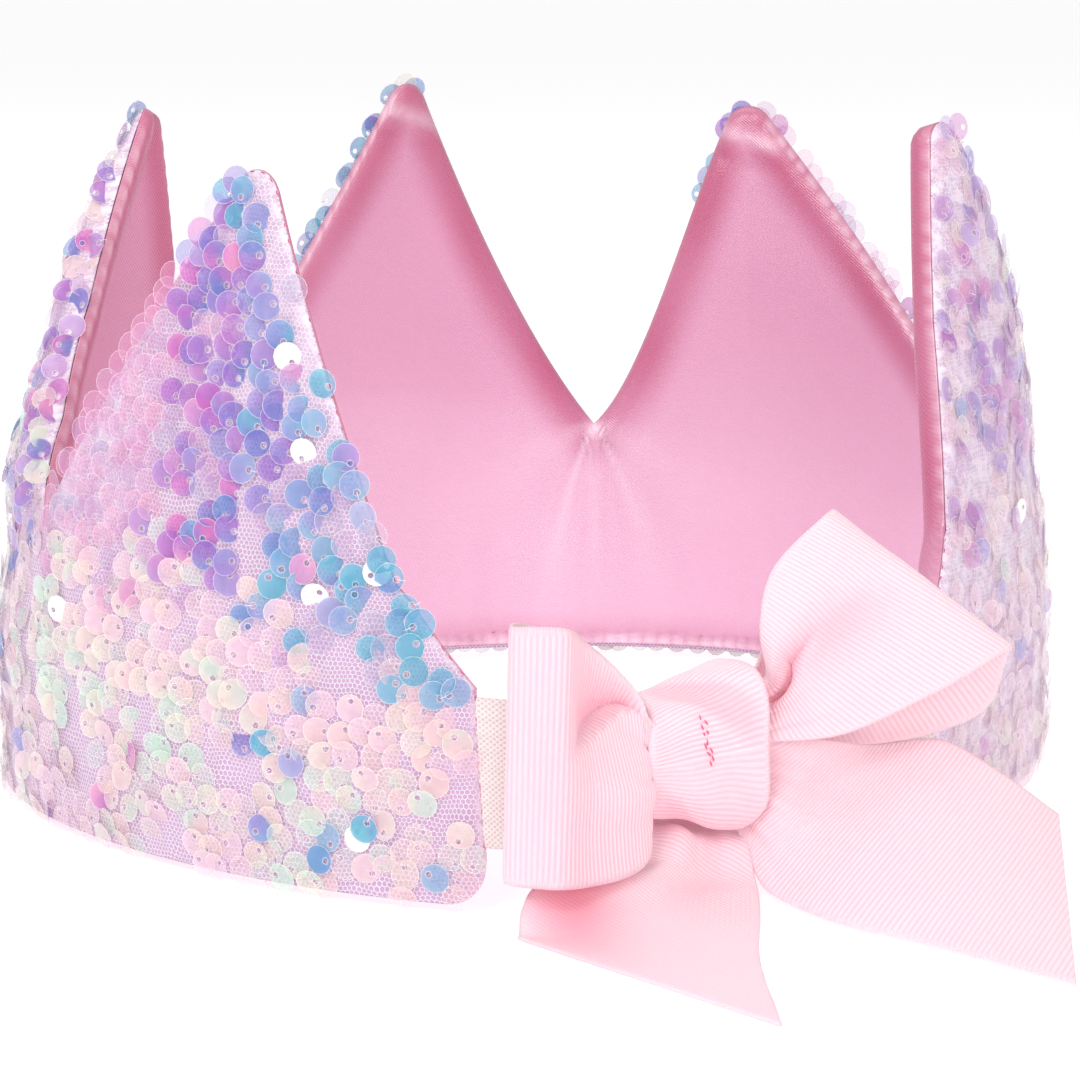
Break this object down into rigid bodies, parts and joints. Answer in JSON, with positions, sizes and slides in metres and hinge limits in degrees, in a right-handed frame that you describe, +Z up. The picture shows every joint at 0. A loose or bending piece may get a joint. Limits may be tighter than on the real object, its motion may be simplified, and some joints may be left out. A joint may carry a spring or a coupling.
{
  "type": "sequin crown",
  "caption": "Child's soft dress-up crown: a pointed band of sequined net lined with satin, closed at the back by an elastic with a ribbon bow.",
  "frame": {"origin": "on the surface that it stands on, under the middle of the crown with its bow", "axes": "+Z up from the hem to the points, +Y towards the wearer's back, where the elastic and the bow are, +X towards the wearer's left"},
  "size_m": [0.172, 0.2164, 0.1085],
  "materials": {
    "sequined_net": "net with overlapping iridescent sequins",
    "satin": "satin",
    "elastic": "knitted",
    "ribbon": "grosgrain"
  },
  "bodies": {
    "root": {"outer_panel": "sequined_net", "satin_lining": "satin", "elastic_band": "elastic", "bow_knot": "ribbon", "left_loop": "ribbon", "right_loop": "ribbon", "left_tail": "ribbon", "right_tail": "ribbon"}
  },
  "joints": []
}
